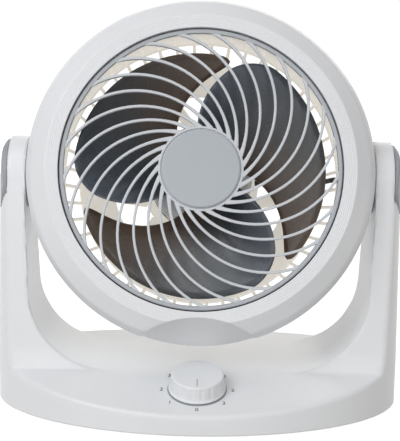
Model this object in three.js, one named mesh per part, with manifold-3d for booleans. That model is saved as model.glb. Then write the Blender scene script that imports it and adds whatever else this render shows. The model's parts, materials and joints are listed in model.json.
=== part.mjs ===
// Table-top air circulator: a round drum head that tilts between the arms of a U-shaped stand.
// Millimetres, +Z up, the outlet faces -Y.  The origin is on the floor, under the tilt axis.
import * as THREE from 'three';
import { mergeVertices } from 'three/addons/utils/BufferGeometryUtils.js';
import Module from 'manifold-3d';

const wasm = await Module();
wasm.setup();

// ---------------------------------------------------------------- driving dimensions
const PIVOT_Z = 165.5; // tilt axis above the floor
const REST_TILT = 15; // degrees the outlet looks up at rest
const HEAD_R = 123; // outside of the head where its two shells meet
const BLADE_R = 90; // 180 mm class impeller
const BLADES = 3;
const GRILLE_BARS = 25;
const GRILLE_FRONT = 47.5; // front face of the guard, ahead of the tilt axis
const RIM_R = 98.5; // outside of the guard's rim
const HUB_R = 29.3; // plain disc in the middle of the guard
const REAR_RIBS = 48;
const SEAM = 21; // where the bezel meets the drum, ahead of the tilt axis
const DUCT_R = 100.5; // bore of the air duct behind the guard
const DUCT_BACK = -6; // where the duct ends and the slotted cone of the rear guard begins
const GUARD_BACK = -46; // back face of the rear guard

const STAND_A = 148; // half length of the elliptical base
const STAND_B = 96; // half depth of the elliptical base
const ARM_DRAFT = 2; // how far the arms lean in from base to tilt axis
const SKIRT_Z = 1.2; // underside of the base above the floor
const LIP_Z = 15; // top of the upright front lip
const PANEL_SLOPE = 16; // degrees, the control panel
const FLOOR_Z = 31; // flat between the arms
const REAR_Z = 25; // top edge of the base at the back
const ARM_GAP = 124.6; // half distance between the arms
const U_RADIUS = 56; // round inside corners between arm and base
const U_GAP = 122.5; // half distance between the arms where the round corners start
const U_LEAN_Z = 140; // height where the arms reach their full distance
const ARM_TOP_R = 28; // round arm ends
const WALL = 2.5; // moulded wall
const GAP = 0.3; // clearance between pieces that meet
const CAP_R = 25.5; // pivot caps
const CAP_LAND = 138; // flat that a cap sits on, out from the middle

const KNOB_R = 19.3;
const KNOB_COLLAR_R = 20.6;
const KNOB_H = 12.8;
const KNOB_Y = -64;
const KNOB_RIBS = 18;

const CRANK_AT = [22, 46]; // axis of the oscillation motor
const CRANK_THROW = 11;
const DRIVE_ARM = 22; // reach of the fixed arm on the foot, along +X

const rad = THREE.MathUtils.degToRad;

// ---------------------------------------------------------------- materials
const finish = (color, roughness, metalness) => () =>
  new THREE.MeshStandardMaterial({ color, roughness, metalness });
const whitePlastic = finish(0xe9eaec, 0.35, 0);
const greyPlastic = finish(0x9a9fa6, 0.4, 0);
const silverPlastic = finish(0xc4cacf, 0.35, 0.2);
const creamPlastic = finish(0xd9d3c4, 0.5, 0);
const darkPlastic = finish(0x30353a, 0.3, 0);
const blackPlastic = finish(0x1d1e20, 0.55, 0);
const nylon = finish(0xe6e2d6, 0.5, 0);
const rubber = finish(0x26272a, 0.85, 0);
const steel = finish(0xb4b7ba, 0.3, 1);
const castAlloy = finish(0xa7abae, 0.45, 1);
const laminations = finish(0x585b60, 0.5, 1);
const copper = finish(0xb36a3c, 0.4, 1);

// ---------------------------------------------------------------- geometry helpers
// Merges shared corners, drops collapsed triangles and turns the faces outwards.
function closed(geometry) {
  const bare = geometry.clone();
  bare.deleteAttribute('normal');
  bare.deleteAttribute('uv');
  const merged = mergeVertices(bare, 1e-4);
  const at = merged.attributes.position;
  const from = merged.index.array;
  const corner = [new THREE.Vector3(), new THREE.Vector3(), new THREE.Vector3()];
  const kept = [];
  let volume = 0;
  for (let i = 0; i < from.length; i += 3) {
    const tri = [from[i], from[i + 1], from[i + 2]];
    if (tri[0] === tri[1] || tri[1] === tri[2] || tri[2] === tri[0]) continue;
    corner.forEach((c, k) => c.fromBufferAttribute(at, tri[k]));
    volume += corner[0].dot(corner[1].clone().cross(corner[2]));
    kept.push(tri);
  }
  merged.setIndex(kept.flatMap(([a, b, c]) => (volume < 0 ? [a, c, b] : [a, b, c])));
  return merged;
}

function toSolid(geometry) {
  const clean = closed(geometry);
  const mesh = new wasm.Mesh({
    numProp: 3,
    vertProperties: new Float32Array(clean.attributes.position.array),
    triVerts: new Uint32Array(clean.index.array),
  });
  return new wasm.Manifold(mesh);
}

function toGeometry(solid) {
  const mesh = solid.getMesh();
  const geometry = new THREE.BufferGeometry();
  geometry.setAttribute('position', new THREE.Float32BufferAttribute(mesh.vertProperties, 3));
  geometry.setIndex(Array.from(mesh.triVerts));
  return geometry;
}

// Cuts and joins: combine(first, [['subtract', g], ['add', g], ['intersect', g], ...]).
function combine(first, steps) {
  return toGeometry(steps.reduce((solid, [how, g]) => solid[how](toSolid(g)), toSolid(first)));
}

const cut = (first, ...tools) => combine(first, tools.map((g) => ['subtract', g]));
const join = (first, ...more) => combine(first, more.map((g) => ['add', g]));
const common = (first, ...more) => combine(first, more.map((g) => ['intersect', g]));

// A profile of [radius, height] points turned about +Z.
function turned(points, segments = 16) {
  const profile = points.map(([r, h]) => new THREE.Vector2(r, h));
  const onAxis = points[0][0] === 0 && points.at(-1)[0] === 0;
  if (!onAxis) profile.push(profile[0].clone());
  return closed(new THREE.LatheGeometry(profile, segments)).rotateX(Math.PI / 2);
}

const disc = (r, low, high, segments = 16) =>
  turned([[0, low], [r, low], [r, high], [0, high]], segments);
const tube = (inner, outer, low, high, segments = 18) =>
  turned([[inner, low], [outer, low], [outer, high], [inner, high]], segments);
const alongX = (geometry) => geometry.rotateY(Math.PI / 2);
const alongY = (geometry) => geometry.rotateX(-Math.PI / 2);

function outline(points) {
  return new THREE.Shape(points.map(([x, y]) => new THREE.Vector2(x, y)));
}

function plate(shape, low, high) {
  const geometry = new THREE.ExtrudeGeometry(shape, { depth: high - low, bevelEnabled: false });
  return closed(geometry.translate(0, 0, low));
}

function block(sizeX, sizeY, sizeZ, x, y, z) {
  return new THREE.BoxGeometry(sizeX, sizeY, sizeZ).translate(x, y, z);
}

const polar = (r, degrees) => [r * Math.cos(rad(degrees)), r * Math.sin(rad(degrees))];

// Points of an arc about a centre, ends included.
function arc(cx, cy, r, from, to, steps) {
  return Array.from({ length: steps + 1 }, (_, i) => {
    const [x, y] = polar(r, from + ((to - from) * i) / steps);
    return [cx + x, cy + y];
  });
}

// A round hole in a flat shape.
function ringPath(x, y, r, sides = 12) {
  const points = arc(x, y, r, 0, 360 - 360 / sides, sides - 1);
  return new THREE.Path(points.map(([u, v]) => new THREE.Vector2(u, v)));
}

// ---------------------------------------------------------------- scene graph
const fan = new THREE.Group();
const head = new THREE.Group();
head.position.z = PIVOT_Z;
head.rotation.x = rad(90 - REST_TILT);
fan.add(head);

const panelZ = (y) => LIP_Z + (y + STAND_B) * Math.tan(rad(PANEL_SLOPE));
const knobSeat = new THREE.Group();
knobSeat.position.set(0, KNOB_Y, panelZ(KNOB_Y));
knobSeat.rotation.x = rad(PANEL_SLOPE);
fan.add(knobSeat);

function piece(parent, name, geometry, material) {
  const mesh = new THREE.Mesh(geometry, material());
  mesh.name = name;
  parent.add(mesh);
  return mesh;
}

// ---------------------------------------------------------------- stand housing
// Three prisms meet in the housing: the U seen from the front, the arm and the sloping
// base seen from the side, and the ellipse seen from above.  "inset" shrinks all three.
const ARM_SHOULDER = [[146.2, 0], [144.8, 11], [142.4, 20.5], [139.5, 28.5]];
function frontPrism(inset) {
  const half = ARM_GAP + inset;
  const centreX = U_GAP - U_RADIUS;
  const radius = U_RADIUS + inset;
  const centreZ = FLOOR_Z + U_RADIUS;
  const right = arc(centreX, centreZ, radius, 0, -90, 9);
  const left = arc(-centreX, centreZ, radius, -90, -180, 9);
  const low = SKIRT_Z - (inset ? 5 : 0);
  const shoulder = ARM_SHOULDER.map(([x, z]) => [x - inset, PIVOT_Z + z - inset / 2]);
  const mirrored = shoulder.map(([x, z]) => [-x, z]).reverse();
  const top = shoulder.at(-1)[1];
  const points = [
    [-170, low], [170, low], [170, shoulder[0][1] - 4], ...shoulder, [half, top],
    [half, U_LEAN_Z], ...right, ...left, [-half, U_LEAN_Z], [-half, top],
    ...mirrored, [-170, shoulder[0][1] - 4],
  ];
  return plate(outline(points), -120, 120).rotateX(Math.PI / 2);
}

function sidePrism(inset) {
  const drop = inset / Math.cos(rad(PANEL_SLOPE));
  const low = SKIRT_Z - (inset ? 5 : 0);
  const foot = 42 - inset * 0.6;
  const shin = 38 - inset;
  const points = [
    [-120, low],
    [-120, panelZ(-120) - drop],
    [-STAND_B, LIP_Z - drop],
    [-foot, panelZ(-42) - drop],
    [-shin, 42],
    ...arc(0, PIVOT_Z, ARM_TOP_R - inset, 184, -4, 12),
    [shin, 42],
    [foot, FLOOR_Z - inset],
    [STAND_B, REAR_Z - inset],
    [120, REAR_Z - 3 - inset],
    [120, low],
  ];
  return plate(outline(points), -170, 170).rotateX(Math.PI / 2).rotateZ(Math.PI / 2);
}

function planPrism(inset) {
  const foot = SKIRT_Z - (inset ? 5 : 0);
  const half = STAND_A - inset;
  const slim = half - ARM_DRAFT;
  const profile = [[0, foot], [half, foot], [half, FLOOR_Z], [slim, PIVOT_Z], [slim, 220], [0, 220]];
  const depth = (STAND_B - inset) / half;
  return turned(profile, 48).scale(1, depth, 1);
}

const standShape = (inset) => common(sidePrism(inset), frontPrism(inset), planPrism(inset));

const COVER_BOSSES = [[-96, -38], [96, -38], [-88, 46], [88, 46]];
const coverTop = 8.5;
const outside = standShape(0);
const bosses = COVER_BOSSES.map(([x, y]) =>
  common(disc(4.2, coverTop + GAP, PIVOT_Z, 12).translate(x, y, 0), outside));
const bossHoles = COVER_BOSSES.map(([x, y]) => disc(1.7, 0, 22, 10).translate(x, y, 0));
const shaftHole = disc(4, -6, 6, 20).rotateX(rad(PANEL_SLOPE)).translate(0, KNOB_Y, panelZ(KNOB_Y));
const GLAND_Z = 15.6;
const glandHole = alongY(disc(5.4, 85, 110, 20)).translate(0, 0, GLAND_Z);
const trunnionHoles = alongX(disc(9.5, -133, 133, 20)).translate(0, 0, PIVOT_Z);

// Each arm end has a round recess with a flat floor.  Its circle is larger than the cap and
// meets it at the lowest point, so the cap fills the recess there and stands free above.
const RECESS_R = 32;
const RECESS_UP = 6;
const onArms = (geometry, up = 0) => [-1, 1].map((side) =>
  alongX(geometry.clone()).rotateZ(side < 0 ? Math.PI : 0).translate(0, 0, PIVOT_Z + up));
const recessWalls = onArms(disc(RECESS_R + WALL, CAP_LAND - WALL, 160, 32), RECESS_UP)
  .map((g) => common(g, outside));
const recesses = onArms(disc(RECESS_R, CAP_LAND, 170, 32), RECESS_UP);
const spigotHoles = onArms(disc(22.7, 131, 160, 28));

const housing = combine(outside, [
  ['subtract', standShape(WALL)],
  ...[...bosses, ...recessWalls].map((g) => ['add', g]),
  ...[...bossHoles, shaftHole, glandHole, trunnionHoles, ...recesses, ...spigotHoles]
    .map((g) => ['subtract', g]),
]);

// The housing is three nodes: the base, and an arm at each end in a notch of the base.
const ARM_FROM = 66;
const ARM_REACH = 44;
const ARM_SEAT_Z = 28;
const armRegion = (side, shrink) => {
  const inner = ARM_FROM + shrink;
  const reach = ARM_REACH - shrink;
  return block(110, 2 * reach, 200, side * (inner + 55), 0, ARM_SEAT_Z + shrink + 100);
};
piece(fan, 'stand_housing', cut(housing, armRegion(-1, 0), armRegion(1, 0)), whitePlastic);
piece(fan, 'stand_arm_left', common(housing, armRegion(-1, GAP)), whitePlastic);
piece(fan, 'stand_arm_right', common(housing, armRegion(1, GAP)), whitePlastic);

// ---------------------------------------------------------------- underside and turntable
const coverInset = WALL + GAP;
const coverRatio = (STAND_B - coverInset) / (STAND_A - coverInset);
const coverDisc = disc(STAND_A - coverInset, coverTop - 2, coverTop, 32).scale(1, coverRatio, 1);
const coverHoles = COVER_BOSSES.map(([x, y]) => disc(2, 0, 20, 10).translate(x, y, 0));
piece(fan, 'bottom_cover', cut(coverDisc, disc(16.2, 0, 20, 20), ...coverHoles), whitePlastic);

COVER_BOSSES.forEach(([x, y], i) => {
  const screw = turned([[0, 4], [3.2, 4], [3.2, 6.2], [1.5, 6.2], [1.5, 18], [0, 18]], 10);
  piece(fan, `cover_screw_${i + 1}`, screw.translate(x, y, 0), steel);
});

const footProfile = [
  [3.4, 1.5], [90, 1.5], [91, 2.5], [91, 3.4], [15.5, 3.4], [15.5, 12], [3.4, 12],
];
piece(fan, 'foot_plate', turned(footProfile, 32), greyPlastic);
[45, 135, 225, 315].forEach((degrees, i) => {
  const [x, y] = polar(78, degrees);
  piece(fan, `foot_pad_${i + 1}`, disc(9, 0, 1.2, 16).translate(x, y, 0), rubber);
});
piece(fan, 'thrust_washer', tube(16.2, 28, 3.7, 6.2, 20), nylon);
piece(fan, 'turntable_retainer', tube(3.4, 19, 12.3, 13.7, 20), steel);

const armShape = outline([...arc(0, 0, 8, 100, 260, 6), ...arc(DRIVE_ARM, 0, 5, -90, 90, 6)]);
armShape.holes.push(ringPath(0, 0, 3.4));
const driveArm = join(plate(armShape, 14, 16), disc(2.4, 12.2, 15, 12).translate(DRIVE_ARM, 0, 0));
piece(fan, 'drive_arm', driveArm, steel);
const centreScrew = turned([[0, 5], [2.9, 5], [2.9, 16.3], [6, 16.3], [6, 18.6], [0, 18.6]], 16);
piece(fan, 'turntable_screw', centreScrew, steel);

// ---------------------------------------------------------------- oscillation drive
const driveMotor = cut(disc(20, 17.4, 25.2, 24), disc(3.3, 10, 21, 12));
piece(fan, 'oscillation_motor', driveMotor.translate(...CRANK_AT, 0), castAlloy);
const crank = join(
  disc(14, 14, 16.4, 20),
  disc(2.7, 15, 20, 12),
  disc(2.2, 9.4, 15, 12).translate(-CRANK_THROW, 0, 0),
);
piece(fan, 'crank_disc', crank.translate(...CRANK_AT, 0), nylon);

// The link runs from the crank pin to the pin of the fixed arm, whose end it passes under.
const crankPin = new THREE.Vector2(CRANK_AT[0] - CRANK_THROW, CRANK_AT[1]);
const linkSpan = new THREE.Vector2(DRIVE_ARM, 0).sub(crankPin);
const linkShape = outline([
  ...arc(0, 0, 5, 90, 270, 6),
  ...arc(linkSpan.length(), 0, 5, -90, 90, 6),
]);
linkShape.holes.push(ringPath(0, 0, 2.6));
linkShape.holes.push(ringPath(linkSpan.length(), 0, 2.6));
const link = plate(linkShape, 9.8, 11.6).rotateZ(linkSpan.angle());
piece(fan, 'drive_link', link.translate(crankPin.x, crankPin.y, 0), nylon);

// ---------------------------------------------------------------- electrics in the base
piece(fan, 'run_capacitor', block(30, 13, 15, -62, 12, coverTop + 8.2), blackPlastic);
piece(fan, 'terminal_block', block(24, 14, 9, 60, 20, coverTop + 5.2), nylon);
const gland = turned([[3, 88.6], [7, 88.6], [7, 92.6], [5, 92.6], [5, 95.8], [3, 95.8]], 16);
piece(fan, 'cord_gland', alongY(gland).translate(0, 0, GLAND_Z), blackPlastic);

const switchBody = cut(block(24, 24, 8, 0, 0, -7), disc(3.4, -8, 0, 16));
piece(knobSeat, 'rotary_switch', switchBody, blackPlastic);
const shaftShape = outline(arc(0, 0, 3, 60, 300, 12));
piece(knobSeat, 'switch_shaft', plate(shaftShape, -7, 8.4), steel);

// Serrated grip with a plain collar below it.
const ribStep = 360 / KNOB_RIBS;
const gripPoints = Array.from({ length: KNOB_RIBS * 2 }, (_, i) =>
  polar(i % 2 ? KNOB_R - 0.8 : KNOB_R, (i * ribStep) / 2));
const knob = combine(plate(outline(gripPoints), 1, KNOB_H), [
  ['add', disc(KNOB_COLLAR_R, 0.4, 1.8, 32)],
  ['subtract', disc(3.4, 0, 9, 16)],
]);
piece(knobSeat, 'speed_knob', knob, whitePlastic);

// ---------------------------------------------------------------- tilt pivots
// A cap carries on the outer surface of the arm across the recess.
const capBlanks = onArms(disc(CAP_R, CAP_LAND + GAP, 160, 28)).map((g) => common(g, outside));
const capSpigots = onArms(tube(20, 22.4, 134, CAP_LAND + 1, 24));
const bushProfile = [
  [3, 116], [9, 116], [9, HEAD_R + GAP], [24.5, HEAD_R + GAP], [24.5, 124.3], [9, 124.3], [9, 130.1], [3, 130.1],
];
const pivotScrewProfile = [[0, 118], [2.6, 118], [2.6, 130.4], [12, 130.4], [12, 132.7], [0, 132.7]];
['left', 'right'].forEach((side, i) => {
  piece(fan, `pivot_cap_${side}`, join(capBlanks[i], capSpigots[i]), greyPlastic);
  piece(fan, `friction_washer_${side}`, onArms(tube(9.6, 17, 127.4, 129.7, 16))[i], nylon);
  piece(fan, `pivot_screw_${side}`, onArms(turned(pivotScrewProfile, 16))[i], steel);
  const bush = piece(head, `pivot_bush_${side}`, alongX(turned(bushProfile, 20)), greyPlastic);
  bush.rotation.z = i === 0 ? Math.PI : 0;
});

// ---------------------------------------------------------------- head: bezel and drum
// In the head the third coordinate runs forward along the air stream from the tilt axis.
const bezelProfile = [
  [96.5, 41.5], [96.5, 43.7], [99.7, 43.7], [99.7, 50], [107.5, 50],
  [119.8, 40.8], [123.7, 32], [HEAD_R, SEAM + GAP], [120.5, SEAM + GAP],
  [117, 38.6], [106.8, 47.6], [102.2, 47.6], [102.2, 41.5],
];
const padProfile = [
  [101.5, 44], [101.5, 50], [107.5, 49.9], [119.7, 40.7], [123.6, 32], [HEAD_R - 0.1, SEAM + GAP],
  [114, SEAM + GAP], [110, 36], [105, 44],
];
// The thumb scoop under the outlet is a facet across the bezel, with more wall behind it.
const scoopSector = block(84, 60, 60, 0, -120, 30);
const pad = common(turned(padProfile, 40), scoopSector);
const facetFrom = new THREE.Vector2(103.2, 50.4);
const facetTo = new THREE.Vector2(HEAD_R + 1.4, SEAM + GAP);
const facetAngle = Math.atan2(facetFrom.y - facetTo.y, facetTo.x - facetFrom.x);
const facetTool = block(120, 60, 20, 0, 0, 10)
  .rotateX(facetAngle)
  .translate(0, -(facetFrom.x + facetTo.x) / 2, (facetFrom.y + facetTo.y) / 2);
const bezel = combine(turned(bezelProfile, 40), [['add', pad], ['subtract', facetTool]]);
piece(head, 'front_bezel', bezel, whitePlastic);

const drumProfile = [
  [HEAD_R, SEAM], [122.4, 10], [120.6, 0], [116, -7], [109, -10.4], [103.3, -11],
  [103.3, -8.4], [108.2, -7.9], [114.2, -4.6], [118, 2], [119.9, 11], [120.5, SEAM],
];
// A boss at each side carries the pivot and stops short of the duct.
const BOSS_R = 20;
const bossSolids = [-1, 1].map((side) =>
  alongX(disc(BOSS_R, 104, HEAD_R, 28)).rotateZ(side < 0 ? Math.PI : 0));
const drumHoles = alongX(disc(9.5, -140, 140, 20));
const drum = combine(turned(drumProfile, 40), [
  ...bossSolids.map((g) => ['add', g]),
  ['subtract', drumHoles],
]);
piece(head, 'drum_housing', drum, whitePlastic);

// The motor lead comes in through a hole in the duct beside the right pivot.
const LEAD_A = -2.5;
const ductHole = alongX(disc(3.2, 98, 106, 14)).translate(0, 0, LEAD_A);
const duct = tube(DUCT_R, DUCT_R + 2.3, DUCT_BACK + GAP, 39, 40);
piece(head, 'air_duct', cut(duct, ductHole), creamPlastic);

// ---------------------------------------------------------------- head: front guard
// Each bar is an arc of a circle whose centre lies off the hub, so the bars leave the hub
// along its edge and sweep outwards, anticlockwise as seen from in front.
const BAR_ARC_R = 64.7;
const BAR_CENTRE_R = 46.4;
const BAR_CENTRE_ANGLE = 121.2;
const BAR_HALF = 1.05;
const BAR_ROOT_FLARE = 0.7;
const barHalf = (r) => BAR_HALF + BAR_ROOT_FLARE * Math.exp(-(r - HUB_R) / 6);
function barAngle(r, side) {
  const reach = BAR_ARC_R - side * barHalf(r);
  const cosine = (r * r + BAR_CENTRE_R ** 2 - reach ** 2) / (2 * r * BAR_CENTRE_R);
  return BAR_CENTRE_ANGLE - THREE.MathUtils.radToDeg(Math.acos(cosine));
}
const BAR_STATIONS = 6;
const SLOT_FROM = HUB_R + 1.2;
const SLOT_TO = RIM_R - 2.7;
const barPitch = 360 / GRILLE_BARS;
const guardShape = new THREE.Shape().absarc(0, 0, RIM_R, 0, 2 * Math.PI);
for (let n = 0; n < GRILLE_BARS; n += 1) {
  const edge = (offset, side) => Array.from({ length: BAR_STATIONS + 1 }, (_, i) => {
    const r = SLOT_FROM + ((SLOT_TO - SLOT_FROM) * i) / BAR_STATIONS;
    return polar(r, barAngle(r, side) + offset);
  });
  const before = edge(n * barPitch, 1);
  const after = edge((n + 1) * barPitch, -1).reverse();
  guardShape.holes.push(new THREE.Path([...before, ...after].map(([x, y]) => new THREE.Vector2(x, y))));
}
const guard = closed(new THREE.ExtrudeGeometry(guardShape, {
  depth: 3, bevelEnabled: false, curveSegments: 30,
}));
piece(head, 'front_guard', guard.translate(0, 0, GRILLE_FRONT - 3), silverPlastic);
piece(head, 'hub_disc', disc(27.4, GRILLE_FRONT + GAP, GRILLE_FRONT + 1.4, 32), silverPlastic);

// ---------------------------------------------------------------- head: rear guard
// A basket: a flange under the duct, a slotted cone, a plain ring, open triangles and the
// plate that the motor is screwed to.
const basketProfile = [
  [0, GUARD_BACK], [44.2, GUARD_BACK], [66.4, -41], [92.8, -35], [102.8, -8.5], [102.8, DUCT_BACK],
  [DUCT_R, DUCT_BACK], [90.4, -32.6], [66, -38], [44, -43], [0, -43],
];
const ribPitch = 360 / REAR_RIBS;
const ribSlots = Array.from({ length: REAR_RIBS }, (_, n) => {
  const low = (n - 0.5) * ribPitch + 0.75;
  const high = (n + 0.5) * ribPitch - 0.75;
  const corners = [polar(91.4, low), polar(108, low), polar(108, high), polar(91.4, high)];
  return plate(outline(corners), -33, -8.5);
});
const WEBS = 12;
const openTriangles = Array.from({ length: WEBS }, (_, n) => {
  const middle = (n * 360) / WEBS;
  const [inner, outer] = n % 2 ? [45, 65] : [65, 45];
  return plate(outline([polar(outer, middle - 12), polar(outer, middle + 12), polar(inner, middle)]), -50, -30);
});
const MOTOR_SCREWS = [45, 135, 225, 315];
const screwHoles = MOTOR_SCREWS.map((degrees) => {
  const [x, y] = polar(26, degrees);
  return disc(2.1, -50, -40, 12).translate(x, y, 0);
});
const basket = cut(turned(basketProfile, 48), ...ribSlots, ...openTriangles, ...screwHoles);
piece(head, 'rear_guard', basket, creamPlastic);
const dishProfile = [
  [0, -53.5], [24, -52.5], [41, -46.4], [38.4, -46.4], [23, -50.8], [0, -51.8],
];
piece(head, 'motor_cover', turned(dishProfile, 28), whitePlastic);

// ---------------------------------------------------------------- head: motor
const frontBracket = turned([
  [4.6, -0.6], [4.6, 1], [8.4, 1], [8.4, 6.6], [4.6, 6.6], [4.6, 8], [12, 8], [12, 2], [36, 2],
  [38, 0], [38, -16], [36, -16], [36, -0.6],
], 20);
piece(head, 'motor_front_bracket', frontBracket, castAlloy);
piece(head, 'motor_stator', tube(24.4, 38, -30, -16 - GAP, 24), laminations);
piece(head, 'stator_winding_front', tube(25.5, 34.5, -16, -5, 20), copper);
piece(head, 'stator_winding_rear', tube(25.5, 34.5, -37.5, -30.3, 20), copper);
const screwPockets = MOTOR_SCREWS.map((degrees) => {
  const [x, y] = polar(26, degrees);
  return disc(1.9, -50, -37, 10).translate(x, y, 0);
});
const rearBracket = turned([
  [0, -42.4], [35, -42.4], [38, -40], [38, -30.3], [36, -30.3], [36, -38.4], [11, -38.4],
  [11, -33.6], [8.4, -33.6], [8.4, -40], [0, -40],
], 20);
piece(head, 'motor_rear_bracket', cut(rearBracket, ...screwPockets), castAlloy);
piece(head, 'bearing_front', tube(4.4, 8, 1.3, 6.3, 16), steel);
piece(head, 'bearing_rear', tube(4.4, 8, -38.1, -33.6, 16), steel);
MOTOR_SCREWS.forEach((degrees, i) => {
  const [x, y] = polar(26, degrees);
  const screw = turned([[0, -48.2], [3.2, -48.2], [3.2, -46.3], [1.6, -46.3], [1.6, -39], [0, -39]], 10);
  piece(head, `motor_screw_${i + 1}`, screw.translate(x, y, 0), steel);
});

const leadPath = new THREE.CatmullRomCurve3([
  new THREE.Vector3(113.4, 0, LEAD_A),
  new THREE.Vector3(106, 0, LEAD_A),
  new THREE.Vector3(99.5, 0, -3.4),
  new THREE.Vector3(95.5, 0, -9),
  new THREE.Vector3(92, 0, -18),
  new THREE.Vector3(85.5, 0, -26),
  new THREE.Vector3(73, 0, -31),
  new THREE.Vector3(56, 0, -33.6),
  new THREE.Vector3(41, 0, -34),
]);
const leadSection = new THREE.Shape().absarc(0, 0, 2, 0, 2 * Math.PI);
const lead = closed(new THREE.ExtrudeGeometry(leadSection, {
  steps: 14, curveSegments: 4, bevelEnabled: false, extrudePath: leadPath,
}));
piece(head, 'motor_lead', lead, blackPlastic);

// ---------------------------------------------------------------- impeller
piece(head, 'motor_shaft', disc(4, -38.5, 42.4, 14), steel);
piece(head, 'motor_rotor', tube(4.3, 23.6, -31, -15, 24), laminations);
piece(head, 'blade_nut', cut(disc(8, 38.4, 41.8, 6), disc(4.3, 38, 42, 20)), blackPlastic);

// A blade leads with its rear edge, far out and well turned, and ends near the guard.
const LEADING = { hub: 131, tip: 70, curl: 8, low: 5.5 };
const TRAILING = { hub: 217, tip: 185, high: 36.5 };
const BLADE_ROOT = 24;
function bladeGeometry(thickness) {
  const across = 5;
  const along = 9;
  const corners = [];
  const faces = [];
  const row = 2 * (along + 1);
  for (let i = 0; i <= across; i += 1) {
    const r = BLADE_ROOT + ((BLADE_R - BLADE_ROOT) * i) / across;
    const t = i / across;
    const from = LEADING.hub + (LEADING.tip - LEADING.hub) * t + LEADING.curl * t ** 16;
    const to = TRAILING.hub + (TRAILING.tip - TRAILING.hub) * t ** 1.45;
    for (let j = 0; j <= along; j += 1) {
      const s = j / along;
      const [x, y] = polar(r, from + (to - from) * s);
      const rise = LEADING.low + (TRAILING.high - LEADING.low) * (0.75 * s + 0.25 * s * s);
      const half = thickness / 2;
      corners.push(x, y, rise - half, x, y, rise + half);
    }
  }
  const at = (i, j, side) => i * row + 2 * j + side;
  const quad = (a, b, c, d) => faces.push(a, b, c, a, c, d);
  for (let i = 0; i < across; i += 1) {
    for (let j = 0; j < along; j += 1) {
      quad(at(i, j, 1), at(i + 1, j, 1), at(i + 1, j + 1, 1), at(i, j + 1, 1));
      quad(at(i, j, 0), at(i, j + 1, 0), at(i + 1, j + 1, 0), at(i + 1, j, 0));
    }
    quad(at(i, 0, 0), at(i + 1, 0, 0), at(i + 1, 0, 1), at(i, 0, 1));
    quad(at(i + 1, along, 0), at(i, along, 0), at(i, along, 1), at(i + 1, along, 1));
  }
  for (let j = 0; j < along; j += 1) {
    quad(at(0, j + 1, 0), at(0, j, 0), at(0, j, 1), at(0, j + 1, 1));
    quad(at(across, j, 0), at(across, j + 1, 0), at(across, j + 1, 1), at(across, j, 1));
  }
  const geometry = new THREE.BufferGeometry();
  geometry.setAttribute('position', new THREE.Float32BufferAttribute(corners, 3));
  geometry.setIndex(faces);
  return geometry;
}

const hubShell = turned([
  [4.4, 24], [4.4, 38], [20, 38], [26.5, 34], [26.5, 4.5], [24, 4.5], [24, 32.6], [19, 35.5],
  [8, 35.5], [8, 24],
], 30);
const bladeSolids = Array.from({ length: BLADES }, (_, n) =>
  cut(bladeGeometry(2), disc(25, -5, 50, 30)).rotateZ(rad((n * 360) / BLADES)));
piece(head, 'fan_blades', join(hubShell, ...bladeSolids), darkPlastic);

export default fan;
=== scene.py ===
import json
import math

import bmesh
import bpy
import numpy as np
from mathutils import Matrix, Vector


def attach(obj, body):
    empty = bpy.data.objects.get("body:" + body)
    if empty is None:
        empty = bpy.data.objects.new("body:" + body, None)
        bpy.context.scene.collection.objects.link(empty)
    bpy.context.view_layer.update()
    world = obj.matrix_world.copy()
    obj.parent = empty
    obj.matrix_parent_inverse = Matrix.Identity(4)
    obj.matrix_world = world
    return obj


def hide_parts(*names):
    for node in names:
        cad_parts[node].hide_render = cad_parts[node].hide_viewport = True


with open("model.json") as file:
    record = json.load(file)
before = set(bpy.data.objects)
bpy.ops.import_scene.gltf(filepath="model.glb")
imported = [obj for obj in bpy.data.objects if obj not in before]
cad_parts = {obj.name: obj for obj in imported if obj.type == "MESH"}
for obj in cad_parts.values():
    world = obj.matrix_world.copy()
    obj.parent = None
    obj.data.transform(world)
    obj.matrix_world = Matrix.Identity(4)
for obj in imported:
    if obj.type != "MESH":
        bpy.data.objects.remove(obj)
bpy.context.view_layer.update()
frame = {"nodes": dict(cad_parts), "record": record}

# Looks of a small air circulator: a round drum head that tilts between the arms of a U stand.
# Shapes are worked out in millimetres and stored in metres.  +Z is up and the outlet faces -Y.
MM = 0.001

# ---------------------------------------------------------------- driving sizes
PIVOT_Z = 165.5  # tilt axis above the floor
REST_TILT = 15  # degrees the outlet looks up
HEAD_R = 123
RING_R = 123.7  # widest ring of the bezel
SEAM = 21  # bezel to drum, ahead of the tilt axis
STAND_A = 148  # half length of the elliptical base
STAND_B = 96
ARM_DRAFT = 2
SKIRT_Z = 1.2  # underside of the base above the floor
LIP_Z = 15  # front edge of the control panel
PANEL_SLOPE = 16
FLOOR_Z = 31  # flat between the arms
FLAT_BACK = 42  # where the flat ends behind the axis
REAR_Z = 25  # top edge of the base at the back
ARM_GAP = 124.6  # half distance between the arms
U_RADIUS = 56  # round inside corners between arm and base
U_GAP = 122.5  # half distance between the arms where the round corners start
U_LEAN_Z = 140  # height where the arms reach their full distance
GLAND_Z = 15.6
GLAND_HOLE_R = 5.4
CREASE_SOFT = 4  # how softly the panel runs into the flat between the arms
ARM_TOP_R = 28
ARM_SHOULDER = [(146.2, 0), (144.8, 11), (142.4, 20.5), (139.5, 28.5)]
CAP_R = 25.5
CAP_LAND = 138  # floor of the round recess that holds a cap
RECESS_R = 32
RECESS_UP = 6
KNOB_Y = -64
KNOB_R = 19.3
KNOB_H = 12.8
KNOB_RIBS = 18
GRILLE_FRONT = 47.5
GRILLE_BARS = 25
DUCT_R = 100.5  # bore of the duct behind the guard
REAR_RIBS = 48


def panel_z(y):
    """Height of the sloping control panel."""
    return LIP_Z + (y + STAND_B) * math.tan(math.radians(PANEL_SLOPE))


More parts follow.
